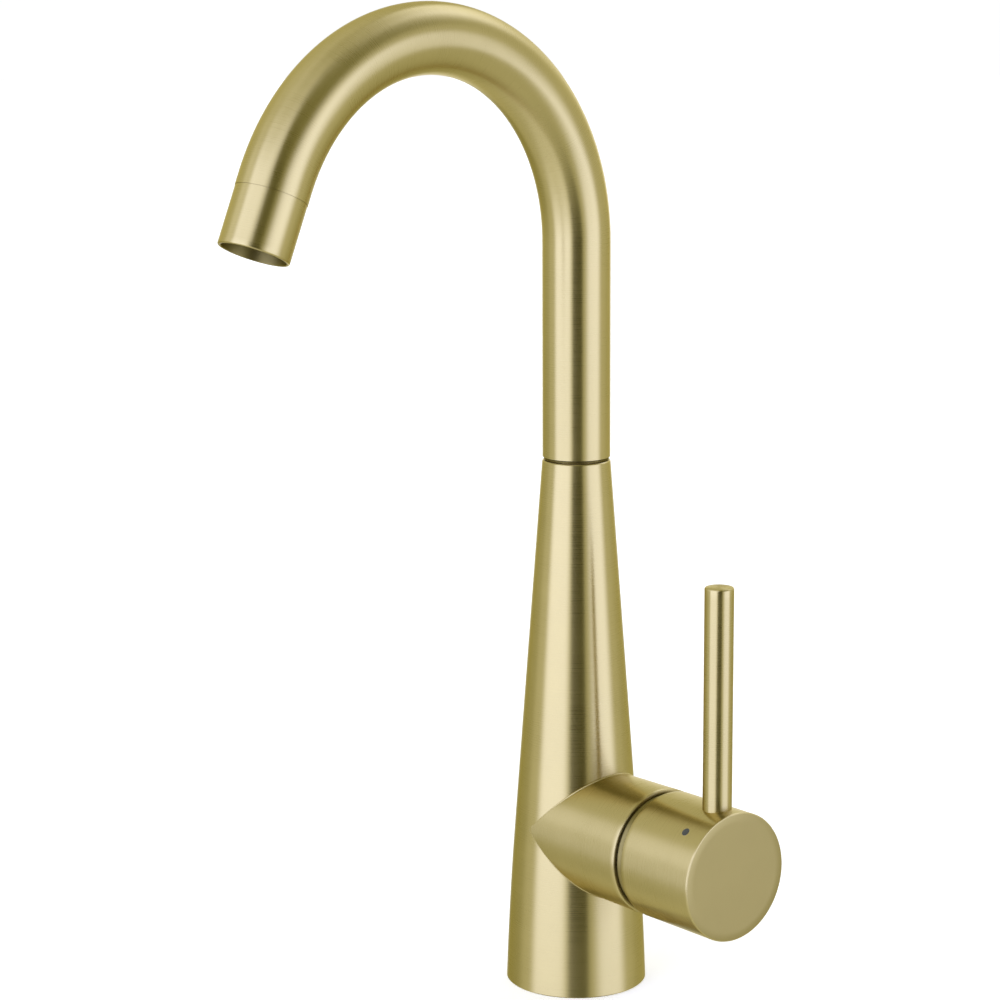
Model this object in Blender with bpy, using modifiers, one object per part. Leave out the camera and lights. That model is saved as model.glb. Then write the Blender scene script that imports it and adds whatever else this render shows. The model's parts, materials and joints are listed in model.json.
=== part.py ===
"""Single-lever gooseneck tap with a pull-down nozzle, built as separate named pieces.

Row frame: +Z up, origin on the worktop under the centre of the body. The valve and its lever stand
out towards +X, and the spout reaches towards -Y, swivelled 6 degrees towards the lever. Sizes below
are in millimetres.
"""
import math

import bmesh
import bpy
from mathutils import Matrix, Vector

MM = 0.001

# Conical body and its side valve housing
BODY_TOP_Z = 199.6            # body top, just under the swivel joint
BODY_TOP_R = 12.6
BODY_SLOPE = 0.0753           # radius gained per millimetre going down
BODY_FOOT_Z = 60.0            # below this the cone turns gently upright
BODY_FOOT_IN = 1.25           # how far the foot stands inside the plain cone
VALVE_Z = 60.3                # height of the valve axis, which runs along +X
VALVE_X = 4.4                 # sizes along the valve axis are measured from here
VALVE_R = 23.5                # handle cap, and the housing where it meets the cap
HOUSING_ROOT_R = 23.0         # the housing is a little slimmer where it grows out of the body
HOUSING_END_X = 43.6
BORE_R = 11.0                 # bore that takes the spout stem
SEAT_X = 9.0                  # face the cartridge seals against

# Cartridge and handle
CARTRIDGE_R = 17.5
PIVOT_X = 30.0                # flow pivot, on the valve axis
DOME_R = 25.5                 # bonnet dome, a sphere about the pivot
CAP_X0, CAP_X1 = 47.1, 82.1
SKIRT_R = 22.0                # inside of the cap's skirt
ROD_X, ROD_R, ROD_Z0, ROD_TOP_Z = 72.6, 5.25, 69.6, 164.3
INDEX_X, INDEX_ANGLE, INDEX_R = 72.85, math.radians(41.0), 1.6

# Gooseneck
TUBE_R, TUBE_IN_R = 12.5, 11.3
TUBE_Z0 = 200.9
BEND_Z, BEND_R, BEND = 280.0, 75.0, math.radians(156.4)
TUBE_TAIL = 4.5               # straight tube after the bend
SPOUT_TURN = math.radians(6.0)  # the spout stands swivelled this far towards the lever
NOZZLE_R, NOZZLE_LEN = 12.35, 20.5

# Hose, supply tubes and the fixing under the worktop
HOSE_R, HOSE_IN_R = 6.0, 4.0
HOSE_X = -7.5                 # the hose runs beside the cartridge
TAIL_R, TAIL_IN_R = 3.5, 2.5
TAILS = {"hot_inlet_tube": (3.5, 9.0), "cold_inlet_tube": (3.5, -9.0), "mixed_outlet_tube": (5.0, 0.0)}
PORTS = {"hot": (9.0, 62.3), "cold": (-9.0, 62.3), "outlet": (0.0, 55.3)}
SHANK_R, SHANK_IN_R = 16.0, 14.0
WORKTOP = 30.0                # thickness of worktop drawn between base and washer

SIDES = 36

for leftover in list(bpy.data.objects):
    bpy.data.objects.remove(leftover, do_unlink=True)
tap = bpy.data.collections.new("gooseneck_tap")
tools = bpy.data.collections.new("cutting_tools")
bpy.context.scene.collection.children.link(tap)
bpy.context.scene.collection.children.link(tools)

UPRIGHT = Matrix.Identity(4)

# name: colour, roughness, metallic
FINISHES = {
    "brushed_gold": ((0.46, 0.36, 0.16), 0.3, 1.0),
    "brass": ((0.62, 0.46, 0.2), 0.35, 1.0),
    "steel": ((0.55, 0.55, 0.56), 0.35, 1.0),
    "black_plastic": ((0.03, 0.03, 0.03), 0.5, 0.0),
    "grey_plastic": ((0.35, 0.36, 0.37), 0.5, 0.0),
    "white_ceramic": ((0.85, 0.84, 0.8), 0.25, 0.0),
    "rubber": ((0.02, 0.02, 0.02), 0.7, 0.0),
    "braid": ((0.3, 0.31, 0.33), 0.45, 0.0),
    "blue_enamel": ((0.02, 0.05, 0.2), 0.3, 0.0),
}


def material(name):
    mat = bpy.data.materials.get(name)
    if mat is None:
        mat = bpy.data.materials.new(name)
        mat.use_nodes = True
        colour, roughness, metallic = FINISHES[name]
        shader = mat.node_tree.nodes["Principled BSDF"]
        shader.inputs["Base Color"].default_value = (*colour, 1.0)
        shader.inputs["Roughness"].default_value = roughness
        shader.inputs["Metallic"].default_value = metallic
    return mat


def along(origin, direction):
    """Placement whose local +Z lies along direction, starting at origin (millimetres)."""
    turn = Vector((0, 0, 1)).rotation_difference(Vector(direction).normalized())
    return Matrix.Translation(Vector(origin) * MM) @ turn.to_matrix().to_4x4()


def at(x, y, z=0.0):
    return Matrix.Translation(Vector((x, y, z)) * MM)


def pivot(name, place, parent=None):
    """Empty on a joint's axis, which carries the pieces that move with it."""
    empty = bpy.data.objects.new(name, None)
    empty["place"] = [list(row) for row in place]
    tap.objects.link(empty)
    put(empty, place, parent)
    return empty


def put(ob, place, parent):
    ob.parent = parent
    if parent is not None:
        place = Matrix(parent["place"]).inverted() @ place
    ob.matrix_basis = place


def add(name, data, place, finish=None, parent=None):
    """Link an object; one without a finish is a cutting tool."""
    ob = bpy.data.objects.new(name, data)
    (tap if finish else tools).objects.link(ob)
    if finish:
        data.materials.append(material(finish))
    else:
        ob.hide_render = True
        ob.display_type = "WIRE"
    put(ob, place, parent)
    return ob


def turned(name, profile, place=UPRIGHT, sides=SIDES, finish=None, parent=None):
    """Screw modifier on (radius, height) points; a profile clear of the axis makes a ring."""
    area = sum(a[0] * b[1] - b[0] * a[1] for a, b in zip(profile, profile[1:] + profile[:1]))
    if area > 0:
        profile = profile[::-1]
    bm = bmesh.new()
    points = [bm.verts.new((radius * MM, 0, height * MM)) for radius, height in profile]
    for a, b in zip(points, points[1:]):
        bm.edges.new((a, b))
    if profile[0][0] > 0:
        bm.edges.new((points[-1], points[0]))
    mesh = bpy.data.meshes.new(name)
    bm.to_mesh(mesh)
    bm.free()
    ob = add(name, mesh, place, finish, parent)
    mod = ob.modifiers.new("turn", "SCREW")
    mod.steps = mod.render_steps = sides
    mod.use_merge_vertices = True
    mod.merge_threshold = 0.00001
    return ob


def rod(name, radius, h0, h1, place=UPRIGHT, sides=SIDES, finish=None, parent=None):
    bm = bmesh.new()
    bmesh.ops.create_cone(bm, cap_ends=True, segments=sides, radius1=radius * MM, radius2=radius * MM,
                          depth=(h1 - h0) * MM, matrix=at(0, 0, (h0 + h1) / 2))
    mesh = bpy.data.meshes.new(name)
    bm.to_mesh(mesh)
    bm.free()
    return add(name, mesh, place, finish, parent)


def ring(name, r_in, r_out, h0, h1, place=UPRIGHT, sides=SIDES, finish=None, parent=None):
    profile = [(r_in, h0), (r_out, h0), (r_out, h1), (r_in, h1)]
    return turned(name, profile, place, sides, finish, parent)


def o_ring(name, r_in, r_out, h, place=UPRIGHT, parent=None):
    mid, half = (r_in + r_out) / 2, (r_out - r_in) / 2
    turns = [math.pi * (2 * i + 1) / 6 for i in range(6)]
    profile = [(mid + half * math.cos(a), h + half * math.sin(a)) for a in turns]
    return turned(name, profile, place, 20, "rubber", parent)


def tube(name, points, r_out, wall, resolution, finish, parent=None):
    """Hollow tube: a bevelled curve, open at both ends, with a Solidify modifier for its wall."""
    curve = bpy.data.curves.new(name, "CURVE")
    curve.dimensions = "3D"
    spline = curve.splines.new("POLY")
    spline.points.add(len(points) - 1)
    base = Vector((0, 0, 0)) if parent is None else Matrix(parent["place"]).translation
    for knot, point in zip(spline.points, points):
        knot.co = (*(Vector(point) * MM - base), 1.0)
    curve.bevel_depth = r_out * MM
    curve.bevel_resolution = resolution
    curve.use_fill_caps = False
    ob = add(name, curve, Matrix.Translation(base), finish, parent)
    mod = ob.modifiers.new("wall", "SOLIDIFY")
    mod.thickness = wall * MM
    mod.offset = -1.0
    return ob


def box(name, centre, size, place=UPRIGHT):
    bm = bmesh.new()
    bmesh.ops.create_cube(bm, size=MM, matrix=at(*centre) @ Matrix.Diagonal((*size, 1.0)))
    mesh = bpy.data.meshes.new(name)
    bm.to_mesh(mesh)
    bm.free()
    return add(name, mesh, place)


def boolean(target, tool, operation="DIFFERENCE"):
    mod = target.modifiers.new(tool.name, "BOOLEAN")
    mod.operation = operation
    mod.solver = "EXACT"
    mod.object = tool


def drill(target, name, radius, h0, h1, place=UPRIGHT, sides=12, parent=None):
    boolean(target, rod(name, radius, h0, h1, place, sides, None, parent))


def body_radius(z):
    radius = BODY_TOP_R + BODY_SLOPE * (BODY_TOP_Z - z)
    if z < BODY_FOOT_Z:
        radius -= BODY_FOOT_IN * (1 - z / BODY_FOOT_Z) ** 2
    return radius


def centre_line(s):
    """Point and tangent of the gooseneck at length s above the start of the bend (negative below)."""
    if s <= 0:
        return Vector((0, 0, BEND_Z + s)), Vector((0, 0, 1))
    a = min(s / BEND_R, BEND)
    tangent = Vector((0, -math.sin(a), math.cos(a)))
    point = Vector((0, -BEND_R * (1 - math.cos(a)), BEND_Z + BEND_R * math.sin(a)))
    return point + tangent * max(0.0, s - BEND * BEND_R), tangent


VALVE = along((VALVE_X, 0, VALVE_Z), (1, 0, 0))
ACROSS = along((VALVE_X + PIVOT_X, 0, VALVE_Z), (0, 1, 0))
END_S = BEND * BEND_R + TUBE_TAIL
SEAM, OUTWARD = centre_line(END_S)
END = along(SEAM, OUTWARD)

# ---- joint axes ---------------------------------------------------------------------------------
swivel = pivot("swivel_axis", at(0, 0, BODY_TOP_Z))
pull = pivot("nozzle_pull_axis", END, swivel)
temperature = pivot("temperature_axis", along((VALVE_X + PIVOT_X, 0, VALVE_Z), (1, 0, 0)))
flow = pivot("flow_axis", ACROSS, temperature)
disc_slide = pivot("disc_slide_axis", at(VALVE_X + PIVOT_X, 0, VALVE_Z), temperature)

# ---- body casting -------------------------------------------------------------------------------
heights = [0, 12, 24, 36, 48, 60, 72, 110, 155, BODY_TOP_Z - 0.3]
outline = [(0, 0)] + [(body_radius(z), z) for z in heights]
outline += [(BODY_TOP_R - 0.3, BODY_TOP_Z), (0, BODY_TOP_Z)]
body = turned("body_shell", outline, finish="brushed_gold")
housing = [(0, 0.5 - VALVE_X), (HOUSING_ROOT_R, 0.5 - VALVE_X), (VALVE_R, HOUSING_END_X - 0.4),
           (VALVE_R - 0.4, HOUSING_END_X), (0, HOUSING_END_X)]
boolean(body, turned("housing_form", housing, VALVE), "UNION")
chamber = [(0, -1), (24.3, -1), (24.3, 1.0), (16.3, 1.0), (16.3, 13), (19, 13), (19, 32), (0, 32)]
boolean(body, turned("lower_chamber_cut", chamber))
drill(body, "hose_passage_cut", 7.0, 31, 88, at(HOSE_X, 0), 20)
upper = [(0, 86), (17.0, 86), (12.8, 148), (BORE_R, 151), (BORE_R, 202), (0, 202)]
boolean(body, turned("upper_chamber_cut", upper))
pocket = [(0, SEAT_X), (18.5, SEAT_X), (18.5, 40), (21.9, 40), (21.9, 45), (0, 45)]
boolean(body, turned("cartridge_pocket_cut", pocket, VALVE))
for (tail, (tx, ty)), (port, (py, pz)) in zip(TAILS.items(), PORTS.items()):
    drill(body, port + "_socket_cut", TAIL_R + 0.3, 31, 42, at(tx, ty))
    drill(body, port + "_riser_cut", 2.2, 41, pz + 2, at(tx, ty))
    drill(body, port + "_port_cut", 2.0, tx, VALVE_X + SEAT_X + 0.5, along((0, py, pz), (1, 0, 0)))
STOP_Z = 176.0
BACK = along((0, 0, STOP_Z), (0, 1, 0))
drill(body, "stop_screw_cut", 2.3, 10, 16, BACK)

stop_screw = rod("swivel_stop_screw", 2.0, 9.6, 13.7, BACK, 16, "steel")
drill(stop_screw, "stop_screw_key_cut", 1.1, 11.9, 15, BACK, 6)
ring("base_gasket", 17.3, 24.0, 0.0, 0.85, finish="rubber")

# ---- fixing under the worktop -------------------------------------------------------------------
shank = [(SHANK_IN_R, -62), (SHANK_R - 0.8, -62), (SHANK_R, -61.2), (SHANK_R, 12.7), (SHANK_IN_R, 12.7)]
turned("mounting_shank", shank, UPRIGHT, 28, "brass")
ring("deck_rubber_washer", 16.5, 26.5, -WORKTOP - 3, -WORKTOP, UPRIGHT, 28, "rubber")
ring("deck_steel_washer", 16.5, 26.5, -WORKTOP - 4.8, -WORKTOP - 3.3, UPRIGHT, 28, "steel")
nut = ring("mounting_nut", 16.3, 29.0, -WORKTOP - 14.5, -WORKTOP - 6.5, UPRIGHT, 28, "brass")
HEAD, TIP = -WORKTOP - 24.0, -WORKTOP - 5.1
for number, screw_x in ((1, 22.6), (2, -22.6)):
    drill(nut, "clamp_screw_cut_%d" % number, 2.8, -WORKTOP - 16, -WORKTOP - 5, at(screw_x, 0))
    profile = [(0, HEAD), (4.0, HEAD), (4.0, HEAD + 3.5), (2.5, HEAD + 3.5), (2.5, TIP), (0, TIP)]
    turned("clamp_screw_%d" % number, profile, at(screw_x, 0), 12, "steel")

# ---- supply tails and the lower run of the pull-down hose ---------------------------------------
for name, (tx, ty) in TAILS.items():
    ring(name, TAIL_IN_R, TAIL_R, -105, 40.5, at(tx, ty), 12, "brass")

HOSE_JOIN_Z = 149.0
points = [(HOSE_X, 0, z) for z in (-105, -30, 40)]
points += [(HOSE_X * (1 + math.cos(math.pi * i / 6)) / 2, 0, 88 + 54 * i / 6) for i in range(7)]
points.append((0, 0, HOSE_JOIN_Z))
tube("hose_lower", points, HOSE_R, HOSE_R - HOSE_IN_R, 4, "braid")

# ---- cartridge, fixed pieces --------------------------------------------------------------------
BASE_X, LID_X = SEAT_X + 1.2, 38.0
profile = [(0, BASE_X), (CARTRIDGE_R, BASE_X), (CARTRIDGE_R, LID_X), (9.0, LID_X), (9.0, 35.5),
           (15.5, 35.5), (15.5, 13.0), (0, 13.0)]
cartridge = turned("cartridge_body", profile, VALVE, 28, "grey_plastic")
fixed_disc = rod("fixed_ceramic_disc", 15.2, 13.3, 16.3, VALVE, 24, "white_ceramic")
for port, (py, pz) in PORTS.items():
    place = along((VALVE_X, py, pz), (1, 0, 0))
    hole = rod(port + "_disc_port_cut", 1.8, 9.5, 17.5, place, 16)
    boolean(cartridge, hole)
    boolean(fixed_disc, hole)
    ring("seat_seal_" + port, 2.3, 3.7, SEAT_X + 0.15, BASE_X - 0.15, place, 12, "rubber")
ring("cartridge_retaining_nut", 10.0, 18.2, 38.3, 42.0, VALVE, 28, "brass")

low, high = math.asin(21.6 / DOME_R), math.asin(13 / DOME_R)
turns = [low + (high - low) * i / 4 for i in range(5)]
profile = [(DOME_R * math.sin(a), PIVOT_X + DOME_R * math.cos(a)) for a in turns]
DOME_IN_R = DOME_R - 1.3
profile += [(DOME_IN_R * math.sin(a), PIVOT_X + DOME_IN_R * math.cos(a)) for a in turns[::-1]]
profile += [(20.4, 40.3), (21.6, 40.3)]
turned("bonnet_dome", profile, VALVE, SIDES, "brushed_gold")

# ---- cartridge, moving pieces (heights along the valve axis, from the middle of the body) --------
rotor = ring("cartridge_rotor", 8.5, 14.8, 20.2, 33.8, VALVE, 24, "grey_plastic", temperature)
drill(rotor, "pin_hole_cut", 1.8, -16, 16, ACROSS)
rod("pivot_pin", 1.5, -12.5, 12.5, ACROSS, 16, "steel", temperature)

BALL_X, BALL_R = PIVOT_X - 7.5, 2.6
profile = [(0, 16.4), (12.5, 16.4), (12.5, 18.9), (5.2, 18.9), (5.2, 24.3), (3.0, 24.3),
           (3.0, 19.4), (0, 19.4)]
moving_disc = turned("moving_ceramic_disc", profile, VALVE, 24, "white_ceramic", disc_slide)
boolean(moving_disc, box("mixing_recess_cut", (VALVE_X + 16.7, 0, VALVE_Z - 3.9), (2.6, 19.8, 6.2)))

profile = [(0, BALL_X - BALL_R)]
profile += [(BALL_R * math.sin(a), BALL_X - BALL_R * math.cos(a)) for a in (0.6, 1.2, 1.8, 2.35)]
profile += [(1.8, 26.4), (4.0, 27.4), (4.0, 75.0), (0, 75.0)]
stem = turned("cartridge_stem", profile, VALVE, 20, "brass", flow)
drill(stem, "stem_pin_cut", 1.6, -6, 6, ACROSS)

# ---- handle -------------------------------------------------------------------------------------
EDGE = 0.35
profile = [(0, CAP_X1), (VALVE_R - EDGE, CAP_X1), (VALVE_R, CAP_X1 - EDGE), (VALVE_R, CAP_X0 + 0.2),
           (VALVE_R - 0.2, CAP_X0), (SKIRT_R, CAP_X0), (SKIRT_R, 58.0), (20.0, 60.0), (4.3, 60.0),
           (4.3, 75.5), (0, 75.5)]
cap = turned("handle_cap", profile, VALVE, SIDES, "brushed_gold", flow)
drill(cap, "rod_socket_cut", ROD_R + 0.12, ROD_Z0 - 0.3, 92.0, at(VALVE_X + ROD_X, 0), 24)
INDEX = along((VALVE_X + INDEX_X, 0, VALVE_Z), (0, -math.sin(INDEX_ANGLE), math.cos(INDEX_ANGLE)))
drill(cap, "set_screw_cut", INDEX_R + 0.3, 3.8, 25.0, INDEX)
profile = [(0, ROD_Z0), (ROD_R, ROD_Z0), (ROD_R, ROD_TOP_Z - 0.4), (ROD_R - 0.4, ROD_TOP_Z), (0, ROD_TOP_Z)]
turned("handle_rod", profile, at(VALVE_X + ROD_X, 0), 24, "brushed_gold", flow)
set_screw = rod("handle_set_screw", INDEX_R, 4.4, 10.4, INDEX, 12, "steel", flow)
drill(set_screw, "set_screw_key_cut", 0.9, 8.4, 11.0, INDEX, 6)
rod("index_plug", INDEX_R, 19.5, VALVE_R + 0.05, INDEX, 16, "blue_enamel", flow)

# ---- gooseneck ----------------------------------------------------------------------------------
QUARTER = BEND_R * math.pi / 2
lengths = [TUBE_Z0 - BEND_Z, -40.0, 0.0] + [QUARTER * (i + 1) / 12 for i in range(12)]
lengths += [QUARTER + (BEND * BEND_R - QUARTER) * (i + 1) / 9 for i in range(9)] + [END_S]
tube("spout_tube", [centre_line(s)[0] for s in lengths], TUBE_R, TUBE_R - TUBE_IN_R, 10,
     "brushed_gold", swivel)

profile = [(7.8, 152), (10.3, 152), (10.6, 152.6)]
for z in (160.0, 190.0):
    profile += [(10.6, z - 1.2), (9.5, z - 1.2), (9.5, z + 1.2), (10.6, z + 1.2)]
profile += [(10.6, 201.0), (11.0, 201.0), (11.0, 216.0), (7.8, 216.0)]
spout_stem = turned("spout_stem", profile, at(0, 0), 24, "brass", swivel)
o_ring("stem_oring_lower", 9.65, 10.85, 160.0, UPRIGHT, swivel)
o_ring("stem_oring_upper", 9.65, 10.85, 190.0, UPRIGHT, swivel)
ring("spout_bearing_washer", 11.1, 12.0, 199.9, 200.6, UPRIGHT, 24, "brass", swivel)
slot = ring("stop_slot_cut", 9.2, 11.6, STOP_Z - 2.4, STOP_Z + 2.4, UPRIGHT, 32)
boolean(slot, box("stop_slot_half", (0, 10.0, STOP_Z), (40, 20, 20)), "INTERSECT")
boolean(spout_stem, slot)

# ---- pull-down nozzle, heights measured outward from the seam at the end of the tube -------------
ring("docking_sleeve", 9.0, 10.6, -12.0, -0.3, END, 24, "black_plastic", swivel)
profile = [(11.2, 0.3), (NOZZLE_R - 0.15, 0.3), (NOZZLE_R, 0.45), (NOZZLE_R, NOZZLE_LEN - 0.2),
           (NOZZLE_R - 0.2, NOZZLE_LEN), (11.5, NOZZLE_LEN), (11.2, NOZZLE_LEN - 0.3)]
turned("nozzle_shell", profile, END, 32, "brushed_gold", pull)
profile = [(5.3, -13), (8.4, -13), (8.4, -8.2), (7.2, -8.2), (7.2, -5.8), (8.4, -5.8), (8.4, 0.6),
           (10.8, 0.6), (10.8, 11.5), (8.8, 11.5), (8.8, 4.0), (5.3, 4.0)]
turned("nozzle_shank", profile, END, 24, "black_plastic", pull)
o_ring("nozzle_oring", 7.35, 8.75, -7.0, END, pull)
ring("check_valve", 2.4, 5.0, -12.0, -4.0, END, 20, "grey_plastic", pull)
ring("aerator_housing", 9.4, 10.9, 11.8, 16.6, END, 24, "black_plastic", pull)
insert = rod("aerator_insert", 9.1, 12.6, 16.0, END, 24, "black_plastic", pull)
for i in range(7):
    a = math.pi * i / 3
    reach = 5.2 if i < 6 else 0.0
    hole_place = END @ at(reach * math.cos(a), reach * math.sin(a))
    drill(insert, "aerator_hole_cut_%d" % (i + 1), 1.5, 11.8, 17, hole_place, 10, pull)
ring("hose_nut", 7.25, 8.6, -22.0, -13.3, END, 6, "steel", pull)

# upper run of the hose: straight out of the nut, then easing back to the middle of the tube
lengths = [HOSE_JOIN_Z + 0.4 - BEND_Z, -60.0, 0.0] + [BEND * BEND_R * (i + 1) / 14 for i in range(12)]
points = [centre_line(s)[0] for s in lengths]
for s, share in ((END_S - 28.6, 0.55), (END_S - 23.0, 1.0)):
    points.append(centre_line(s)[0].lerp(SEAM - OUTWARD * (END_S - s), share))
points.append(SEAM - OUTWARD * 14.5)
tube("hose_upper", points, HOSE_R, HOSE_R - HOSE_IN_R, 4, "braid", swivel)

swivel.matrix_basis = swivel.matrix_basis @ Matrix.Rotation(SPOUT_TURN, 4, "Z")
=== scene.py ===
"""Looks for the gooseneck faucet: fine surfaces, brushed gold, studio light and the camera."""
import json
import math

import bmesh
import bpy
from mathutils import Matrix, Vector


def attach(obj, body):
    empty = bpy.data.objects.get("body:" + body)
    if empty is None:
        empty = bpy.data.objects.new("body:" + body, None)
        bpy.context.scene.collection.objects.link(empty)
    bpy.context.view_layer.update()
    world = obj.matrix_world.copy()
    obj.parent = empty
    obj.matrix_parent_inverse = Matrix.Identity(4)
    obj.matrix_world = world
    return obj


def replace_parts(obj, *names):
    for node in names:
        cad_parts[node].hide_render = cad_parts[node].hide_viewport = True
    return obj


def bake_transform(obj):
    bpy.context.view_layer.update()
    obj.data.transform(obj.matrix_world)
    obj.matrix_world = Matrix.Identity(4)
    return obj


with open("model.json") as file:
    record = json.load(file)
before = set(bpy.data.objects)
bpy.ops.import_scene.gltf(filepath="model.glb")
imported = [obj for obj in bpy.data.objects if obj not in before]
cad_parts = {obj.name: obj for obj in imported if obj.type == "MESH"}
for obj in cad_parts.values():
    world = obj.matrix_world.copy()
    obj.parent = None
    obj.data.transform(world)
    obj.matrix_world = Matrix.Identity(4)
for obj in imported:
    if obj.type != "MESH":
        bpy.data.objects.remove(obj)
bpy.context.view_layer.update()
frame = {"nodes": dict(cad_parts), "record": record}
MM = 0.001

# sizes in millimetres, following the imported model
BODY_TOP_Z, BODY_TOP_R, BODY_SLOPE = 199.6, 12.6, 0.0753
FOOT_Z, FOOT_IN = 60.0, 1.25           # the foot draws in below this height
VALVE_X, VALVE_Z, VALVE_R, HOUSING_ROOT_R, HOUSING_END_X = 4.4, 60.3, 23.5, 23.04, 43.6
SEAT_R, MOUTH_R = 18.5, 21.9           # inside of the valve housing
PIVOT_X, DOME_R, DOME_WALL = 30.0, 25.5, 1.3
CAP_X0, CAP_X1, SKIRT_R = 47.1, 82.1, 22.0
STEM_BORE_R, STEM_BORE_X = 4.3, 75.5   # the stem's hole in the cap
ROD_X, ROD_R, ROD_Z0, ROD_TOP_Z = 72.6, 5.25, 69.6, 164.3
INDEX_X, INDEX_ANGLE, INDEX_R = 72.85, math.radians(41.0), 1.6
TUBE_R, TUBE_IN_R, TUBE_Z0 = 12.5, 11.3, 200.9
BEND_Z, BEND_R, BEND, TAIL = 280.0, 75.0, math.radians(156.4), 4.5
SPOUT_TURN = math.radians(6.0)
NOZZLE_R, NOZZLE_IN_R, NOZZLE_LEN = 12.35, 11.2, 20.5
HOSE_R, HOSE_IN_R, HOSE_X, HOSE_JOIN_Z = 6.0, 4.0, -7.5, 149.0
TAIL_Z = -105.0                        # where the tails and the hose are cut off

REACH = Vector((math.sin(SPOUT_TURN), -math.cos(SPOUT_TURN), 0))    # the way the spout points
ACROSS = Vector((math.cos(SPOUT_TURN), math.sin(SPOUT_TURN), 0))
UP = Vector((0, 0, 1))


def body_radius(z):
    """Outside radius of the tapered body at a height."""
    radius = BODY_TOP_R + BODY_SLOPE * (BODY_TOP_Z - z)
    if z < FOOT_Z:
        radius -= FOOT_IN * (1 - z / FOOT_Z) ** 2
    return radius


def centre_line(s):
    """Point and tangent of the gooseneck at length s above the start of its bend."""
    if s <= 0:
        return UP * (BEND_Z + s), UP
    a = min(s / BEND_R, BEND)
    tangent = REACH * math.sin(a) + UP * math.cos(a)
    point = REACH * BEND_R * (1 - math.cos(a)) + UP * (BEND_Z + BEND_R * math.sin(a))
    return point + tangent * max(0.0, s - BEND * BEND_R), tangent


def along(origin, direction):
    """Placement whose local +Z lies along direction."""
    turn = UP.rotation_difference(Vector(direction).normalized())
    return Matrix.Translation(Vector(origin) * MM) @ turn.to_matrix().to_4x4()


UPRIGHT = Matrix.Identity(4)
VALVE = along((VALVE_X, 0, VALVE_Z), (1, 0, 0))
END_S = BEND * BEND_R + TAIL
SEAM, OUTWARD = centre_line(END_S)
END_AXES = (ACROSS, OUTWARD.cross(ACROSS), OUTWARD)
END = Matrix.Translation(SEAM * MM) @ Matrix(END_AXES).transposed().to_4x4()


def linked(name, bm, place, mat, body, sharp=35.0):
    """Finish a mesh as a piece in its place, riding a body where one is given."""
    bm.transform(place)
    bmesh.ops.recalc_face_normals(bm, faces=bm.faces)
    mesh = bpy.data.meshes.new(name)
    bm.to_mesh(mesh)
    bm.free()
    mesh.shade_smooth()
    mesh.set_sharp_from_angle(angle=math.radians(sharp))
    mesh.materials.append(mat)
    ob = bpy.data.objects.new(name, mesh)
    bpy.context.scene.collection.objects.link(ob)
    if body:
        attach(ob, body)
    return ob


def skinned(stations, sides, closed=False, cap=True):
    """Skin rings: stations are (centre, side, lift, radius, v) and u runs round the ring."""
    bm = bmesh.new()
    uv = bm.loops.layers.uv.new("turning")
    rings = []
    for centre, side, lift, radius, v in stations:
        ring = []
        for i in range(sides):
            a = 2 * math.pi * i / sides
            ring.append(bm.verts.new((centre + (side * math.cos(a) + lift * math.sin(a)) * radius) * MM))
        rings.append(ring)
    count = len(rings)
    for k in range(count if closed else count - 1):
        a, b = rings[k], rings[(k + 1) % count]
        va, vb = stations[k][4], stations[(k + 1) % count][4]
        if closed and k == count - 1:
            vb = va + (stations[1][4] - stations[0][4])
        for i in range(sides):
            j = (i + 1) % sides
            face = bm.faces.new((a[i], a[j], b[j], b[i]))
            u0, u1 = i / sides, (i + 1) / sides
            for loop, where in zip(face.loops, ((u0, va), (u1, va), (u1, vb), (u0, vb))):
                loop[uv].uv = where
    return bm


def turned(name, profile, mat, body, place=UPRIGHT, sides=160, sharp=35.0):
    """Turned solid from (radius, height) points in millimetres; radius 0 closes on the axis."""
    side, lift = Vector((1, 0, 0)), Vector((0, 1, 0))
    closed = profile[0][0] > 0
    length, stations, last = 0.0, [], None
    for radius, height in profile:
        if last is not None:
            length += math.hypot(radius - last[0], height - last[1])
        last = (radius, height)
        stations.append((Vector((0, 0, height)), side, lift, max(radius, 0.02), length * MM * 20))
    bm = skinned(stations, sides, closed)
    if not closed:
        bm.verts.ensure_lookup_table()
        for ring in (list(bm.verts)[:sides], list(bm.verts)[-sides:]):
            bm.faces.new(ring)
    return linked(name, bm, place, mat, body, sharp)


def swept(name, points, r_out, r_in, side, mat, body, sides=96):
    """Hollow tube along (point, tangent) stations."""
    stations, length = [], 0.0
    for i, (point, tangent) in enumerate(points):
        if i:
            length += (point - points[i - 1][0]).length
        stations.append((point, side, tangent.cross(side), r_out, length * MM * 20))
    for point, tangent in points[::-1]:
        stations.append((point, side, tangent.cross(side), r_in, length * MM * 20))
        length += 1.0
    return linked(name, skinned(stations, sides, closed=True), UPRIGHT, mat, body)


def merged(ob, extra):
    """Take the mesh of extra into ob, so both are one piece."""
    bm = bmesh.new()
    bm.from_mesh(ob.data)
    bm.from_mesh(extra.data)
    bm.to_mesh(ob.data)
    bm.free()
    bpy.data.objects.remove(extra, do_unlink=True)
    return ob


def band(name, r_in, r_out, h0, h1, mat, body, place=UPRIGHT, soft=0.25, sides=96):
    """Ring with softened corners."""
    c = min(soft, (r_out - r_in) * 0.4, (h1 - h0) * 0.4)
    d = c * 0.3
    profile = [(r_in, h0 + c), (r_in + d, h0 + d), (r_in + c, h0), (r_out - c, h0), (r_out - d, h0 + d),
               (r_out, h0 + c), (r_out, h1 - c), (r_out - d, h1 - d), (r_out - c, h1), (r_in + c, h1),
               (r_in + d, h1 - d), (r_in, h1 - c)]
    return turned(name, profile, mat, body, place, sides)


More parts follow.
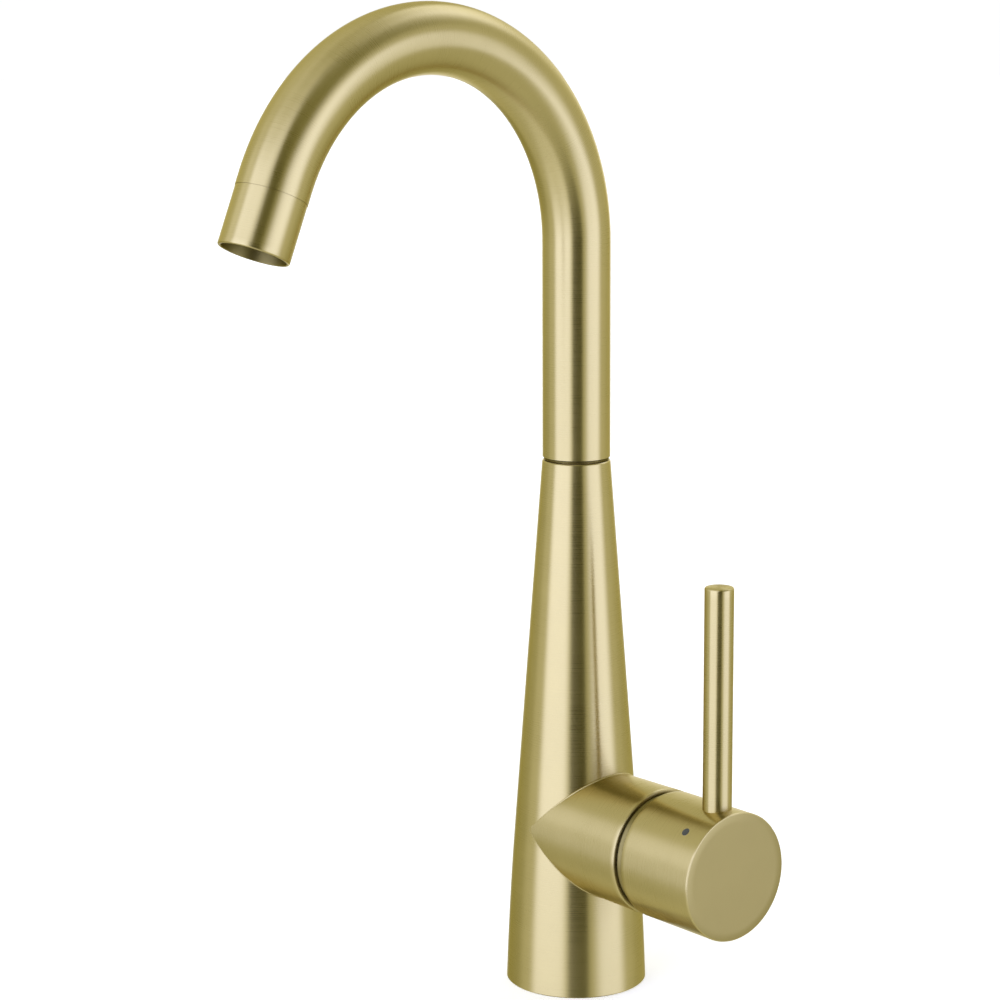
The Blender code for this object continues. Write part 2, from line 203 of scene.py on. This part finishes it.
def threads(radius, depth, h0, h1, pitch):
    """Profile points of a screwed length, from h0 up to h1."""
    count = int((h1 - h0) / pitch)
    points = []
    for i in range(count):
        h = h0 + i * (h1 - h0) / count
        points += [(radius - depth, h), (radius, h + pitch * 0.42), (radius, h + pitch * 0.58)]
    return points + [(radius - depth, h1)]


def o_ring(name, r_in, r_out, h, body, place=UPRIGHT):
    mid, half = (r_in + r_out) / 2, (r_out - r_in) / 2
    turns = [i * math.pi / 8 for i in range(16)]
    profile = [(mid + half * math.cos(a), h + half * math.sin(a)) for a in turns]
    return turned(name, profile, rubber, body, place, 96, 80.0)


# ---- materials ----------------------------------------------------------------------------------
def new_material(name):
    mat = bpy.data.materials.new(name)
    mat.use_nodes = True
    nodes = mat.node_tree.nodes
    return mat, nodes, mat.node_tree.links, nodes["Principled BSDF"]


def node(nodes, kind, **settings):
    made = nodes.new(kind)
    for key, value in settings.items():
        if key in made.inputs:
            made.inputs[key].default_value = value
        else:
            setattr(made, key, value)
    return made


def calculator(nodes, links):
    """A function that adds a sum to a node tree and hands back its output."""
    def calc(operation, a, b=None):
        made = node(nodes, "ShaderNodeMath", operation=operation)
        for socket, value in zip(made.inputs, (a, b)):
            if isinstance(value, bpy.types.NodeSocket):
                links.new(value, socket)
            elif value is not None:
                socket.default_value = value
        return made.outputs[0]
    return calc


def brushed_metal(name, colour, roughness, anisotropy, streak=0.07, grain=0.3):
    """Turned, brushed metal: fine lines round the piece, from the turning UV map and the surface."""
    mat, nodes, links, shader = new_material(name)
    shader.inputs["Metallic"].default_value = 1.0
    shader.inputs["Anisotropic"].default_value = anisotropy
    shader.inputs["Anisotropic Rotation"].default_value = 0.25
    shader.inputs["Specular Tint"].default_value = (0.82, 0.75, 0.47, 1)
    tangent = node(nodes, "ShaderNodeTangent", direction_type="UV_MAP", uv_map="turning")
    links.new(tangent.outputs[0], shader.inputs["Tangent"])
    coord = node(nodes, "ShaderNodeUVMap", uv_map="turning")
    stretch = node(nodes, "ShaderNodeMapping")
    stretch.inputs["Scale"].default_value = (3.0, 260.0, 1.0)
    links.new(coord.outputs[0], stretch.inputs["Vector"])
    lines = node(nodes, "ShaderNodeTexNoise", Scale=1.0, Detail=4.0, Roughness=0.7)
    links.new(stretch.outputs[0], lines.inputs["Vector"])
    solid = node(nodes, "ShaderNodeTexCoord")
    mottle = node(nodes, "ShaderNodeTexNoise", Scale=42.0, Detail=5.0, Roughness=0.6)
    links.new(solid.outputs["Object"], mottle.inputs["Vector"])
    fine = node(nodes, "ShaderNodeTexNoise", Scale=900.0, Detail=3.0, Roughness=0.7)
    links.new(solid.outputs["Object"], fine.inputs["Vector"])

    def between(value, low, high):
        ramp = node(nodes, "ShaderNodeMapRange")
        ramp.inputs["From Min"].default_value, ramp.inputs["From Max"].default_value = 0.3, 0.7
        ramp.inputs["To Min"].default_value, ramp.inputs["To Max"].default_value = low, high
        links.new(value, ramp.inputs["Value"])
        return ramp.outputs["Result"]

    tone = node(nodes, "ShaderNodeMath", operation="MULTIPLY")
    links.new(between(lines.outputs["Fac"], 1 - streak * 0.5, 1 + streak * 0.5), tone.inputs[0])
    links.new(between(mottle.outputs["Fac"], 0.96, 1.04), tone.inputs[1])
    paint = node(nodes, "ShaderNodeVectorMath", operation="SCALE")
    paint.inputs[0].default_value = colour
    links.new(tone.outputs[0], paint.inputs["Scale"])
    links.new(paint.outputs[0], shader.inputs["Base Color"])
    rough = node(nodes, "ShaderNodeMath", operation="MULTIPLY")
    links.new(between(lines.outputs["Fac"], roughness * 0.9, roughness * 1.12), rough.inputs[0])
    links.new(between(mottle.outputs["Fac"], 0.94, 1.06), rough.inputs[1])
    links.new(rough.outputs[0], shader.inputs["Roughness"])
    relief = node(nodes, "ShaderNodeMath", operation="MULTIPLY_ADD")
    links.new(fine.outputs["Fac"], relief.inputs[0])
    relief.inputs[1].default_value = grain
    links.new(lines.outputs["Fac"], relief.inputs[2])
    bump = node(nodes, "ShaderNodeBump", Strength=0.12, Distance=0.00002)
    links.new(relief.outputs[0], bump.inputs["Height"])
    links.new(bump.outputs[0], shader.inputs["Normal"])
    return mat


def plain(name, colour, roughness, metallic=0.0, scale=600.0, depth=0.00003, spread=0.08, coat=0.0):
    """Moulded or machined surface: a slightly uneven tone, gloss and grain."""
    mat, nodes, links, shader = new_material(name)
    shader.inputs["Metallic"].default_value = metallic
    shader.inputs["Coat Weight"].default_value = coat
    solid = node(nodes, "ShaderNodeTexCoord")
    noise = node(nodes, "ShaderNodeTexNoise", Scale=scale, Detail=5.0, Roughness=0.65)
    broad = node(nodes, "ShaderNodeTexNoise", Scale=60.0, Detail=3.0, Roughness=0.6)
    links.new(solid.outputs["Object"], noise.inputs["Vector"])
    links.new(solid.outputs["Object"], broad.inputs["Vector"])
    ramp = node(nodes, "ShaderNodeMapRange")
    ramp.inputs["To Min"].default_value, ramp.inputs["To Max"].default_value = 1 - spread, 1 + spread
    links.new(broad.outputs["Fac"], ramp.inputs["Value"])
    paint = node(nodes, "ShaderNodeVectorMath", operation="SCALE")
    paint.inputs[0].default_value = colour
    links.new(ramp.outputs["Result"], paint.inputs["Scale"])
    links.new(paint.outputs[0], shader.inputs["Base Color"])
    gloss = node(nodes, "ShaderNodeMapRange")
    gloss.inputs["To Min"].default_value = roughness * 0.85
    gloss.inputs["To Max"].default_value = roughness * 1.15
    links.new(noise.outputs["Fac"], gloss.inputs["Value"])
    links.new(gloss.outputs["Result"], shader.inputs["Roughness"])
    bump = node(nodes, "ShaderNodeBump", Strength=0.5, Distance=depth)
    links.new(noise.outputs["Fac"], bump.inputs["Height"])
    links.new(bump.outputs[0], shader.inputs["Normal"])
    return mat


gold = brushed_metal("brushed_gold", (0.50, 0.415, 0.190), 0.29, 0.86)
# unturned gold for the cap's end face, darker than the brushed gold: painted shade
shaded_satin = plain("satin_gold_painted_shade", (0.34, 0.275, 0.105), 0.36, 1.0, scale=1400.0, depth=0.000012, spread=0.04)
# darker copy of the brushed gold: painted shade for the groove at the valve and for the nozzle's mouth
shaded_gold = brushed_metal("brushed_gold_painted_shade", (0.29, 0.235, 0.085), 0.4, 0.6)
# bronze for the bearing washer, darkened far below its own tone: painted shade in the groove between spout
# and body
shaded_bronze = brushed_metal("bearing_bronze_painted_shade", (0.13, 0.10, 0.03), 0.4, 0.5)
inner_brass = plain("machined_brass", (0.62, 0.46, 0.2), 0.35, 1.0)
steel = plain("stainless_steel", (0.55, 0.55, 0.56), 0.35, 1.0)
black = plain("black_plastic", (0.02, 0.02, 0.02), 0.45)
grey = plain("grey_plastic", (0.35, 0.36, 0.37), 0.5)
ceramic = plain("white_ceramic", (0.85, 0.84, 0.8), 0.2, spread=0.02)
rubber = plain("black_rubber", (0.018, 0.018, 0.018), 0.7)
enamel = plain("index_enamel", (0.003, 0.007, 0.014), 0.22, spread=0.03, coat=0.8)


def braided(name, colour, strands=18.0, lay=1900.0):
    """Diagonal braid round the hose, worked out in the frame of the spout's end."""
    mat, nodes, links, shader = new_material(name)
    calc = calculator(nodes, links)
    solid = node(nodes, "ShaderNodeTexCoord")
    away = node(nodes, "ShaderNodeVectorMath", operation="SUBTRACT")
    links.new(solid.outputs["Object"], away.inputs[0])
    away.inputs[1].default_value = SEAM * MM
    parts = []
    for axis in END_AXES:
        dot = node(nodes, "ShaderNodeVectorMath", operation="DOT_PRODUCT")
        links.new(away.outputs[0], dot.inputs[0])
        dot.inputs[1].default_value = axis
        parts.append(dot.outputs["Value"])
    around = calc("MULTIPLY", calc("ARCTAN2", parts[0], parts[1]), strands)
    onward = calc("MULTIPLY", parts[2], lay)
    right_lay = calc("SINE", calc("ADD", around, onward))
    left_lay = calc("SINE", calc("SUBTRACT", around, onward))
    weave = calc("MAXIMUM", calc("ABSOLUTE", right_lay), calc("ABSOLUTE", left_lay))
    ramp = node(nodes, "ShaderNodeMapRange")
    ramp.inputs["From Min"].default_value = 0.4
    ramp.inputs["To Min"].default_value, ramp.inputs["To Max"].default_value = 0.35, 1.15
    links.new(weave, ramp.inputs["Value"])
    paint = node(nodes, "ShaderNodeVectorMath", operation="SCALE")
    paint.inputs[0].default_value = colour
    links.new(ramp.outputs["Result"], paint.inputs["Scale"])
    links.new(paint.outputs[0], shader.inputs["Base Color"])
    shader.inputs["Roughness"].default_value = 0.48
    bump = node(nodes, "ShaderNodeBump", Strength=0.8, Distance=0.00025)
    links.new(weave, bump.inputs["Height"])
    links.new(bump.outputs[0], shader.inputs["Normal"])
    return mat


braid_mat = braided("hose_braid", (0.30, 0.31, 0.33))
FINISH = {"brushed_gold": gold, "inner_brass": inner_brass, "stainless_steel": steel, "rubber": rubber,
          "black_plastic": black, "grey_plastic": grey, "white_ceramic": ceramic,
          "braided_hose": braid_mat, "blue_enamel": enamel}
for part in frame["record"]["subparts"]:
    cad = frame["nodes"][part["node"]]
    for place in cad.material_slots:
        place.material = FINISH[part["material_slot"]]

# ---- body and valve housing ---------------------------------------------------------------------
heights = [0.35 + (BODY_TOP_Z - 0.7) * i / 90 for i in range(91)]
profile = [(17.0, 0.4), (24.3, 0.4), (24.3, 0.0), (body_radius(0) - 0.35, 0.0)]
profile += [(body_radius(z), z) for z in heights]
profile += [(BODY_TOP_R - 0.35, BODY_TOP_Z), (11.0, BODY_TOP_Z), (11.0, 60.0), (17.0, 40.0)]
cone = turned("body_cone", profile, gold, "body")
HOUSING_STEPS = 24
start = 1.0 - VALVE_X           # the housing starts 1 mm off the body's axis
run = HOUSING_END_X - 0.4 - start
widening = VALVE_R - HOUSING_ROOT_R
profile = [(SEAT_R, 4.0), (SEAT_R, start)]
profile += [(HOUSING_ROOT_R + widening * i / HOUSING_STEPS, start + run * i / HOUSING_STEPS)
            for i in range(HOUSING_STEPS + 1)]
profile += [(VALVE_R - 0.06, HOUSING_END_X - 0.3), (VALVE_R - 0.2, HOUSING_END_X - 0.1),
            (VALVE_R - 0.45, HOUSING_END_X), (MOUTH_R + 0.3, HOUSING_END_X),
            (MOUTH_R, HOUSING_END_X - 0.3), (MOUTH_R, 40.0), (SEAT_R, 40.0)]
housing = turned("valve_housing", profile, gold, "body", VALVE)
# small fillet where the housing grows out of the cone; it fades where the two run together
CORNER_STEPS = 240
corner = []
for i in range(CORNER_STEPS):
    a = 2 * math.pi * i / CORNER_STEPS
    y, z = HOUSING_ROOT_R * math.sin(a), VALVE_Z + HOUSING_ROOT_R * math.cos(a)
    corner.append((Vector((math.sqrt(max(body_radius(z) ** 2 - y * y, 0.01)), y, z)), a))
stations = []
for i, (point, a) in enumerate(corner):
    onward = (corner[(i + 1) % CORNER_STEPS][0] - corner[i - 1][0]).normalized()
    lift = onward.cross(Vector((1, 0, 0))).normalized()
    thickness = 0.05 + 0.5 * (1 - abs(math.sin(a)) ** 4)
    stations.append((point, lift.cross(onward), lift, thickness, i * 0.02))
fillet = linked("housing_fillet", skinned(stations, 12, closed=True), UPRIGHT, gold, "body",
                80)
housing = merged(housing, fillet)
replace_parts(cone, "body_shell")

DOME_EDGE, DOME_SWEEP, DOME_STEPS = 57.9, 27.5, 14      # degrees from the valve's axis
turns = [math.radians(DOME_EDGE - DOME_SWEEP * i / DOME_STEPS) for i in range(DOME_STEPS + 1)]
inside = DOME_R - DOME_WALL
profile = [(DOME_R * math.sin(a), PIVOT_X + DOME_R * math.cos(a)) for a in turns]
profile += [(inside * math.sin(a), PIVOT_X + inside * math.cos(a)) for a in turns[::-1]]
# the dome's rim fills the housing's mouth, just clear of its wall
rim = MOUTH_R - 0.02
profile += [(20.4, 40.3), (rim, 40.3), (rim, 42.8), (rim - 0.18, 43.3)]
# the dome shows in the groove between housing and cap, so it takes the darker gold: painted shade
dome = turned("bonnet_dome_fine", profile, shaded_gold, "body", VALVE)
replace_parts(dome, "bonnet_dome")

# ---- handle -------------------------------------------------------------------------------------
profile = [(r, CAP_X1) for r in range(0, 24, 4)]
profile += [(VALVE_R - 0.42, CAP_X1), (VALVE_R - 0.3, CAP_X1 - 0.03), (VALVE_R - 0.12, CAP_X1 - 0.12),
            (VALVE_R - 0.03, CAP_X1 - 0.3), (VALVE_R, CAP_X1 - 0.42)]
profile += [(VALVE_R, CAP_X1 - 1 - i * (CAP_X1 - CAP_X0 - 1.4) / 20) for i in range(21)]
profile += [(VALVE_R - 0.06, CAP_X0 + 0.3), (VALVE_R - 0.2, CAP_X0 + 0.1), (VALVE_R - 0.45, CAP_X0),
            (SKIRT_R + 0.2, CAP_X0), (SKIRT_R, CAP_X0 + 0.2), (SKIRT_R, 58.0), (20.0, 60.0),
            (STEM_BORE_R, 60.0), (STEM_BORE_R, STEM_BORE_X), (0, STEM_BORE_X)]
cap = turned("handle_cap_fine", profile, gold, "handle", VALVE)
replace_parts(cap, "handle_cap")
# the cap's flat end is satin, not turned, and a darker gold: painted shade on the end face
cap.data.materials.append(shaded_satin)
for face in cap.data.polygons:
    if face.normal.x > 0.99 and face.center.x > (VALVE_X + CAP_X1 - 0.2) * MM:
        face.material_index = 1
profile = [(0, ROD_Z0), (ROD_R, ROD_Z0)]
profile += [(ROD_R, ROD_Z0 + 0.7 + i * (ROD_TOP_Z - ROD_Z0 - 1.4) / 30) for i in range(31)]
profile += [(ROD_R - 0.08, ROD_TOP_Z - 0.35), (ROD_R - 0.3, ROD_TOP_Z - 0.08), (ROD_R - 0.6, ROD_TOP_Z),
            (2.5, ROD_TOP_Z), (0, ROD_TOP_Z)]
rod = turned("handle_rod_fine", profile, gold, "handle",
             along((VALVE_X + ROD_X, 0, 0), (0, 0, 1)), 96)
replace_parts(rod, "handle_rod")
INDEX = along((VALVE_X + INDEX_X, 0, VALVE_Z), (0, -math.sin(INDEX_ANGLE), math.cos(INDEX_ANGLE)))
profile = [(0, 19.5), (INDEX_R, 19.5), (INDEX_R, VALVE_R - 0.1), (INDEX_R - 0.1, VALVE_R),
           (INDEX_R - 0.45, VALVE_R + 0.04), (0, VALVE_R + 0.05)]
plug = turned("index_plug_fine", profile, enamel, "handle", INDEX, 48)
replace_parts(plug, "index_plug")

# ---- gooseneck and nozzle -----------------------------------------------------------------------
lengths = [TUBE_Z0 - BEND_Z + i * (BEND_Z - TUBE_Z0) / 12 for i in range(12)]
lengths += [BEND * BEND_R * i / 96 for i in range(97)] + [END_S - 2, END_S]
spout = swept("spout_tube_fine", [centre_line(s) for s in lengths], TUBE_R, TUBE_IN_R, ACROSS,
              gold, "spout")
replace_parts(spout, "spout_tube")
profile = [(NOZZLE_IN_R, 0.012), (NOZZLE_R - 0.05, 0.012), (NOZZLE_R, 0.06)]
profile += [(NOZZLE_R, 0.3 + (NOZZLE_LEN - 0.8) * i / 12) for i in range(1, 13)]
profile += [(NOZZLE_R - 0.08, NOZZLE_LEN - 0.2), (NOZZLE_R - 0.25, NOZZLE_LEN - 0.04),
            (NOZZLE_R - 0.45, NOZZLE_LEN), (NOZZLE_IN_R + 0.25, NOZZLE_LEN),
            (NOZZLE_IN_R + 0.05, NOZZLE_LEN - 0.1), (NOZZLE_IN_R, NOZZLE_LEN - 0.4)]
shell = turned("nozzle_shell_fine", profile, gold, "nozzle", END)
# the mouth's inside is darker than the brushed outside: painted shade in the recess
shell.data.materials.append(shaded_gold)
for face in shell.data.polygons:
    away = face.center / MM - SEAM
    if (away - OUTWARD * away.dot(OUTWARD)).length < NOZZLE_IN_R + 0.5:
        face.material_index = 1
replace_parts(shell, "nozzle_shell")

profile = [(9.0, -11.4), (9.5, -12.0), (10.35, -12.0), (10.6, -11.7), (10.6, -0.5), (10.4, -0.3),
           (9.6, -0.3), (9.0, -0.9)]
sleeve = turned("docking_sleeve_fine", profile, black, "spout", END, 96)
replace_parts(sleeve, "docking_sleeve")
profile = [(5.3, -13.0), (8.1, -13.0), (8.4, -12.7), (8.4, -8.3), (8.3, -8.2), (7.2, -8.2), (7.2, -5.8),
           (8.3, -5.8), (8.4, -5.7), (8.4, 0.3), (8.7, 0.6), (10.6, 0.6), (10.8, 0.8), (10.8, 11.3),
           (10.6, 11.5), (8.8, 11.5), (8.8, 4.0), (5.3, 4.0)]
shank = turned("nozzle_shank_fine", profile, black, "nozzle", END, 96)
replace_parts(shank, "nozzle_shank")
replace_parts(o_ring("nozzle_oring_fine", 7.3, 8.75, -7.0, "nozzle", END), "nozzle_oring")
holder_ring = band("aerator_housing_fine", 9.4, 10.9, 11.8, 16.6, black, "nozzle", END, 0.35)
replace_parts(holder_ring, "aerator_housing")

# aerator: a rimmed disc with a woven screen across its mouth
profile = [(0, 12.6), (8.9, 12.6), (9.1, 12.8), (9.1, 15.8), (8.9, 16.0), (8.3, 16.0), (8.1, 15.8),
           (8.1, 14.4), (0, 14.4)]
screen = turned("aerator_screen", profile, black, "nozzle", END, 96)
SCREEN_R, WIRE, WIRE_PITCH, SCREEN_H = 8.2, 0.3, 0.86, 15.3
wires = bmesh.new()
wires.loops.layers.uv.new("turning")
for turn_wires in (0.0, math.pi / 2):
    for i in range(-9, 10):
        aside = i * WIRE_PITCH
        half = math.sqrt(SCREEN_R ** 2 - aside ** 2)
        size = Matrix.Diagonal((2 * half * MM, WIRE * MM, WIRE * MM, 1))
        lift = SCREEN_H + (0.12 if turn_wires else -0.12)
        spot = Matrix.Rotation(turn_wires, 4, "Z") @ Matrix.Translation(Vector((0, aside, lift)) * MM)
        bmesh.ops.create_cube(wires, size=1.0, matrix=spot @ size)
woven = linked("aerator_wires", wires, END, steel, "nozzle")
screen.data.materials.append(steel)
for face in woven.data.polygons:
    face.material_index = 1
screen = merged(screen, woven)
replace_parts(screen, "aerator_insert")
profile = [(2.4, -11.6), (2.8, -12.0), (4.6, -12.0), (5.0, -11.6), (5.0, -8.4), (4.6, -8.2), (4.6, -7.6),
           (5.0, -7.4), (5.0, -4.3), (4.7, -4.0), (2.7, -4.0), (2.4, -4.3)]
valve = turned("check_valve_fine", profile, grey, "nozzle", END, 64)
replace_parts(valve, "check_valve")

# ---- pull-down hose -----------------------------------------------------------------------------
def run_along(points):
    """Points with the tangents between their neighbours."""
    made = []
    for i, point in enumerate(points):
        before, after = points[max(i - 1, 0)], points[min(i + 1, len(points) - 1)]
        made.append((point, (after - before).normalized()))
    return made


points = [Vector((HOSE_X, 0, TAIL_Z + i * 12)) for i in range(17)]
# it eases over to the body's axis between these heights
AXIS_FROM_Z, AXIS_RISE = 88.0, 54.0
points += [Vector((HOSE_X * (1 + math.cos(math.pi * i / 20)) / 2, 0, AXIS_FROM_Z + AXIS_RISE * i / 20))
           for i in range(21)]
points += [Vector((0, 0, 145.5)), Vector((0, 0, HOSE_JOIN_Z))]
lower = swept("hose_lower_fine", run_along(points), HOSE_R, HOSE_IN_R, Vector((0, 1, 0)), braid_mat, "body",
              64)
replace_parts(lower, "hose_lower")
upper_z = HOSE_JOIN_Z + 0.4
points = [UP * (upper_z + (BEND_Z - upper_z) * i / 10) for i in range(10)]
# near the end it leaves the tube's middle line and runs straight to the nozzle
STRAIGHT = 22.5
EASE_S, STRAIGHT_S = END_S - 60.0, END_S - STRAIGHT
points += [centre_line(EASE_S * i / 40)[0] for i in range(40)]
for i in range(20):
    s = EASE_S + (STRAIGHT_S - EASE_S) * i / 20
    share = (i / 20) ** 2 * (3 - 2 * i / 20)
    points.append(centre_line(s)[0].lerp(SEAM - OUTWARD * (END_S - s), share))
points.append(SEAM - OUTWARD * STRAIGHT)
upper = swept("hose_upper_fine", run_along(points), HOSE_R, HOSE_IN_R, ACROSS, braid_mat, "spout",
              64)
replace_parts(upper, "hose_upper")
# the last of the hose pays out between the tube and the nozzle
points = [SEAM - OUTWARD * (22.4 - 7.9 * i / 80) for i in range(81)]
paid_out = swept("hose_pulled_out", run_along(points), HOSE_R, HOSE_IN_R, ACROSS, braid_mat, None,
                 64)
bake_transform(paid_out)

# ---- swivel and the fixing under the worktop ----------------------------------------------------
# the washer shows in the groove at the swivel; its dark colour is painted shade
bearing = band("spout_bearing_fine", 11.1, 12.0, 199.9, 200.6, shaded_bronze, "spout", soft=0.15)
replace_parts(bearing, "spout_bearing_washer")
gasket = band("base_gasket_fine", 17.3, 24.0, 0.0, 0.85, rubber, "body")
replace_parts(gasket, "base_gasket")
profile = [(14.0, 12.7), (14.0, -61.6), (14.4, -62.0), (15.1, -62.0)] + threads(16.0, 0.8, -61.2, -1.0, 1.5)
profile += [(15.6, -0.8), (16.0, -0.4), (16.0, 12.2), (15.5, 12.7)]
stud = turned("mounting_shank_fine", profile, inner_brass, "body", sides=96)
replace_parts(stud, "mounting_shank")
washer = band("deck_rubber_washer_fine", 16.5, 26.5, -33.0, -30.0, rubber, "body", soft=0.8)
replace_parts(washer, "deck_rubber_washer")
washer = band("deck_steel_washer_fine", 16.5, 26.5, -34.8, -33.3, steel, "body", soft=0.4)
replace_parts(washer, "deck_steel_washer")
for number, screw_x in ((1, 22.6), (2, -22.6)):
    profile = [(0, -54.0), (1.4, -54.0), (1.4, -52.4), (2.2, -52.4), (2.2, -54.0), (3.6, -54.0), (4.0, -53.6),
               (4.0, -50.8), (3.7, -50.5), (2.2, -50.5)]
    profile += threads(2.5, 0.35, -50.2, -36.0, 0.8) + [(1.9, -35.3), (1.5, -35.1), (0, -35.1)]
    screw = turned("clamp_screw_%d_fine" % number, profile, steel, "body",
                   Matrix.Translation(Vector((screw_x, 0, 0)) * MM), 48)
    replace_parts(screw, "clamp_screw_%d" % number)
for name, (tail_x, tail_y) in (("hot_inlet_tube", (3.5, 9.0)), ("cold_inlet_tube", (3.5, -9.0)),
                               ("mixed_outlet_tube", (5.0, 0.0))):
    profile = [(2.5, 40.5), (2.5, TAIL_Z + 0.3), (2.8, TAIL_Z), (3.2, TAIL_Z), (3.5, TAIL_Z + 0.4),
               (3.5, TAIL_Z + 8.0), (3.3, TAIL_Z + 8.4), (3.3, TAIL_Z + 9.6), (3.5, TAIL_Z + 10.0),
               (3.5, 40.0), (3.2, 40.5)]
    tail = turned(name + "_fine", profile, inner_brass, "body",
                  Matrix.Translation(Vector((tail_x, tail_y, 0)) * MM), 40)
    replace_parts(tail, name)

# ---- stage, light and camera --------------------------------------------------------------------
def staged(name, bm, base, roughness, glow, strength):
    """Piece of the studio: plain and softly glowing."""
    mesh = bpy.data.meshes.new(name)
    bm.to_mesh(mesh)
    bm.free()
    mat, _, _, shader = new_material(name)
    shader.inputs["Base Color"].default_value = (base, base, base, 1)
    shader.inputs["Roughness"].default_value = roughness
    shader.inputs["Emission Color"].default_value = (glow, glow, glow, 1)
    shader.inputs["Emission Strength"].default_value = strength
    mesh.materials.append(mat)
    ob = bpy.data.objects.new(name, mesh)
    bpy.context.scene.collection.objects.link(ob)
    return ob


bm = bmesh.new()
bmesh.ops.create_grid(bm, x_segments=1, y_segments=1, size=7.0)
floor = staged("floor", bm, 0.9, 0.9, 0.9, 0.45)
floor.visible_glossy = False
floor.visible_shadow = False

bm = bmesh.new()
bmesh.ops.create_uvsphere(bm, u_segments=48, v_segments=24, radius=7.5)
backdrop = staged("backdrop", bm, 0.0, 1.0, 1.0, 1.0)
backdrop.visible_glossy = backdrop.visible_diffuse = backdrop.visible_shadow = False

FRONT = math.radians(49.31)     # the studio's front, round from -Y towards +X
world = bpy.data.worlds.new("studio")
bpy.context.scene.world = world
world.use_nodes = True
nodes, links = world.node_tree.nodes, world.node_tree.links
sky = nodes["Background"]
calc = calculator(nodes, links)


def rise(value, low, high, rising=True):
    made = node(nodes, "ShaderNodeMapRange", interpolation_type="SMOOTHSTEP")
    made.inputs["From Min"].default_value, made.inputs["From Max"].default_value = low, high
    made.inputs["To Min"].default_value = 0.0 if rising else 1.0
    made.inputs["To Max"].default_value = 1.0 if rising else 0.0
    links.new(value, made.inputs["Value"])
    return made.outputs["Result"]


coord = node(nodes, "ShaderNodeTexCoord")
turn = node(nodes, "ShaderNodeVectorRotate", rotation_type="Z_AXIS", Angle=-FRONT)
links.new(coord.outputs["Generated"], turn.inputs["Vector"])
split = node(nodes, "ShaderNodeSeparateXYZ")
links.new(turn.outputs[0], split.inputs[0])
around = calc("MULTIPLY", calc("ARCTAN2", split.outputs["X"], calc("MULTIPLY", split.outputs["Y"], -1.0)),
              180 / math.pi)
height = calc("MULTIPLY", calc("ARCSINE", split.outputs["Z"]), 180 / math.pi)


def level(amount):
    """Grey studio level for a metal reading; highlights are cooler and shadows warmer."""
    cool = max(0.0, min(1.0, (amount - 0.05) / 0.85))
    return (amount * 2, amount * 2 * (0.96 + 0.11 * cool), amount * 2 * (0.25 + 1.35 * cool), 1)


# (from, to, edge) round from the front in degrees, (from, to, edge) above the horizon, level
STUDIO = [
    ((-200, 200, 1), (-90, -14, 16), 0.37),         # pale floor
    ((-80, -4, 22), (-90, -20, 20), 0.52),          # floor, lit side
    ((112, 200, 16), (-90, -6, 12), 0.30),          # floor, far side
    ((-200, -105, 16), (-36, -6, 14), 0.25),
    ((0, 100, 14), (34, 90, 18), 0.16),             # dark overhead
    ((6, 60, 14), (12, 60, 14), 0.17),
    ((70, 200, 20), (60, 90, 14), 0.32),
    ((-200, 200, 1), (72, 90, 14), 0.30),
    ((-106, -80, 14), (8, 34, 14), 0.62),
    ((-76, -19, 16), (-19, 41, 16), 1.00),          # left softbox
    ((-30, -2, 8), (26, 46, 12), 0.85),
    ((36, 84, 22), (-21, 18, 14), 1.00),            # right softbox
    ((-13, 21, 8), (-30, 27, 16), 0.03),            # gap between them
    ((1, 20, 8), (22, 42, 16), 0.10),
    ((122, 158, 16), (14, 30, 14), 0.52),           # rear softbox, low and high
    ((122, 168, 14), (29, 57, 14), 1.08),
    ((150, 172, 10), (-7, 12, 10), 0.84),
    ((172, 200, 10), (-34, 10, 12), 0.80),
    ((-200, -166, 12), (-34, 10, 12), 0.80),
    ((-166, -150, 12), (-10, 12, 12), 0.50),
]
colour = None
for (a0, a1, a_edge), (e0, e1, e_edge), amount in STUDIO:
    inside = None
    for value, low, high, edge_width in ((around, a0, a1, a_edge), (height, e0, e1, e_edge)):
        half = edge_width / 2
        for limit, rising in ((low, True), (high, False)):
            part = rise(value, limit - half, limit + half, rising)
            inside = part if inside is None else calc("MULTIPLY", inside, part)
    mix = node(nodes, "ShaderNodeMixRGB")
    links.new(inside, mix.inputs["Fac"])
    if colour is None:
        mix.inputs["Color1"].default_value = level(0.41)
    else:
        links.new(colour, mix.inputs["Color1"])
    mix.inputs["Color2"].default_value = level(amount)
    colour = mix.outputs["Color"]
links.new(colour, sky.inputs["Color"])
sky.inputs["Strength"].default_value = 1.0

# the camera stands here, in metres, and looks this way, in degrees
CAMERA_AT = Vector((0.8023413, -0.6899315, 0.3871120))
CAMERA_TURN, CAMERA_DOWN, CAMERA_ROLL = (math.radians(angle) for angle in (50.836545, 10.851143, -0.253144))
camera = bpy.data.cameras.new("camera")
camera.sensor_width = 36.0
camera.lens = 104.838
holder = bpy.data.objects.new("camera", camera)
bpy.context.scene.collection.objects.link(holder)
flat = Vector((-math.sin(CAMERA_TURN), math.cos(CAMERA_TURN), 0))
forward = flat * math.cos(CAMERA_DOWN) - UP * math.sin(CAMERA_DOWN)
level_right = forward.cross(UP).normalized()
right = level_right * math.cos(CAMERA_ROLL) + level_right.cross(forward) * math.sin(CAMERA_ROLL)
turn_to = Matrix((right, right.cross(forward), -forward)).transposed().to_4x4()
holder.matrix_world = Matrix.Translation(CAMERA_AT) @ turn_to
bpy.context.scene.camera = holder
bpy.context.scene.view_settings.view_transform = "Standard"
